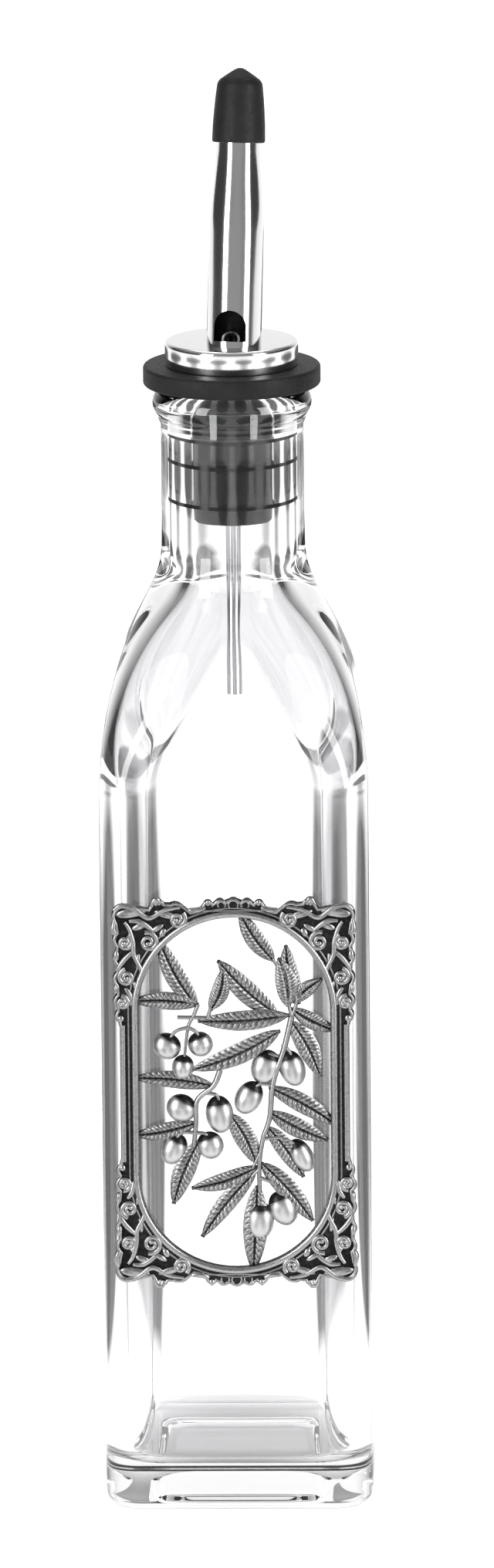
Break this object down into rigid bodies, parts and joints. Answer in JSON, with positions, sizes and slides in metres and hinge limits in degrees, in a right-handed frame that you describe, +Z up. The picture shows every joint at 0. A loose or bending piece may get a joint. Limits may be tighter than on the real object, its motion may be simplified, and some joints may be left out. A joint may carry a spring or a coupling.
{
  "type": "glass oil bottle",
  "caption": "Square clear-glass oil bottle with a relief olive-branch plaque, a finned rubber stopper and a leaning steel pouring spout with a breather tube and a rubber tip cap.",
  "frame": {"origin": "middle of the bottle's base, on the surface it stands on", "axes": "+Z up along the bottle; the plaque faces -Y; the spout leans back towards +Y"},
  "size_m": [0.058, 0.0609, 0.3119],
  "materials": {
    "glass": "clear pressed glass, smooth, thick corners and base",
    "pewter": "antiqued pewter casting, dark recesses and polished highs",
    "adhesive": "soft mounting pad",
    "rubber": "black moulded rubber, satin",
    "polished_steel": "polished stainless steel",
    "dull_steel": "drawn stainless tube"
  },
  "bodies": {
    "bottle": {"glass_bottle": "glass", "plaque_frame": "pewter", "olive_branch": "pewter", "adhesive_pads": "adhesive"},
    "stopper": {"rubber_stopper": "rubber"},
    "pourer": {"collar_cap": "polished_steel", "spout": "polished_steel", "shank": "polished_steel", "breather_tube": "dull_steel"},
    "cap": {"tip_cap": "rubber"}
  },
  "joints": [
    {"name": "stopper_pull", "type": "slide", "parent": "bottle", "child": "stopper", "axis": [0, 0, 1], "range_m": [0, 0.075]},
    {"name": "pourer_turn", "type": "hinge", "parent": "stopper", "child": "pourer", "pos_m": [0, 0, 0.25], "axis": [0, 0, 1], "continuous": true},
    {"name": "cap_pull", "type": "slide", "parent": "pourer", "child": "cap", "axis": [0.0287, 0.1713, 0.9848], "range_m": [0, 0.025]}
  ]
}
